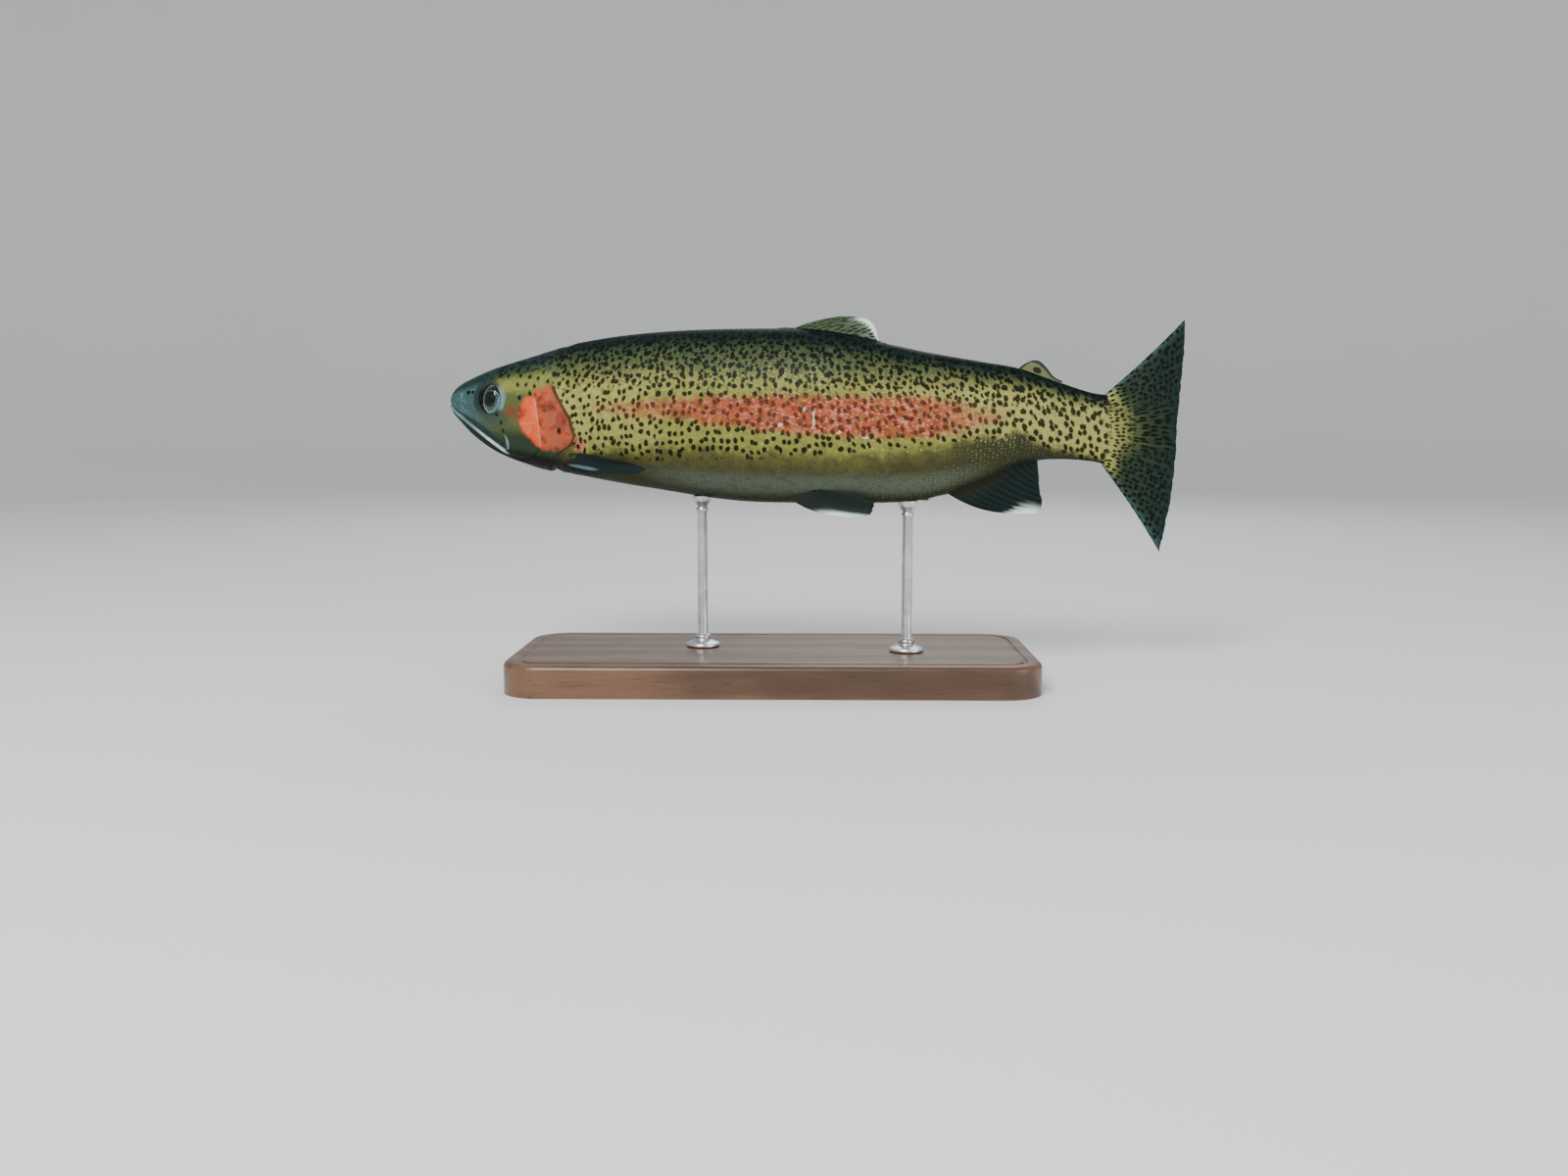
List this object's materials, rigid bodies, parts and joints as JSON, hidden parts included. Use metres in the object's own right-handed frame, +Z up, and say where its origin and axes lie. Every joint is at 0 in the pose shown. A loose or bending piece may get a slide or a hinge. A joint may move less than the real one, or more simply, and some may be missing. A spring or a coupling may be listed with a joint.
{
  "type": "rainbow trout model on stand",
  "caption": "Life-size museum-style model of an adult rainbow trout swimming to the left, its tail curving away, held over a flat wooden base by short steel rods.",
  "frame": {"origin": "centre of the flat underside of the stand's base, which lies on the floor", "axes": "+X along the fish from head to tail, +Y towards its right side and the curve of the tail, +Z up; the fish's left side faces -Y"},
  "size_m": [0.4367, 0.12, 0.2096],
  "materials": {
    "skin": "moist fish skin, olive back, rosy stripe, black spots",
    "jaw_skin": "moist blue-black skin",
    "cheek": "moist coral-red skin",
    "fin": "thin rayed fin, slate with pale tips",
    "eye": "wet glossy eye",
    "base_wood": "dark stained, satin varnish",
    "rod_steel": "brushed"
  },
  "bodies": {
    "root": {"head": "skin", "lower_jaw": "jaw_skin", "maxilla_left": "jaw_skin", "maxilla_right": "jaw_skin", "gill_cover_left": "cheek", "gill_cover_right": "cheek", "eye_left": "eye", "eye_right": "eye", "trunk": "skin", "tail": "skin", "dorsal_fin": "fin", "adipose_fin": "fin", "tail_fin": "fin", "anal_fin": "fin", "pelvic_fin_left": "fin", "pelvic_fin_right": "fin", "pectoral_fin_left": "fin", "pectoral_fin_right": "fin", "stand_base": "base_wood", "stand_rod_front": "rod_steel", "stand_rod_rear": "rod_steel"}
  },
  "joints": []
}
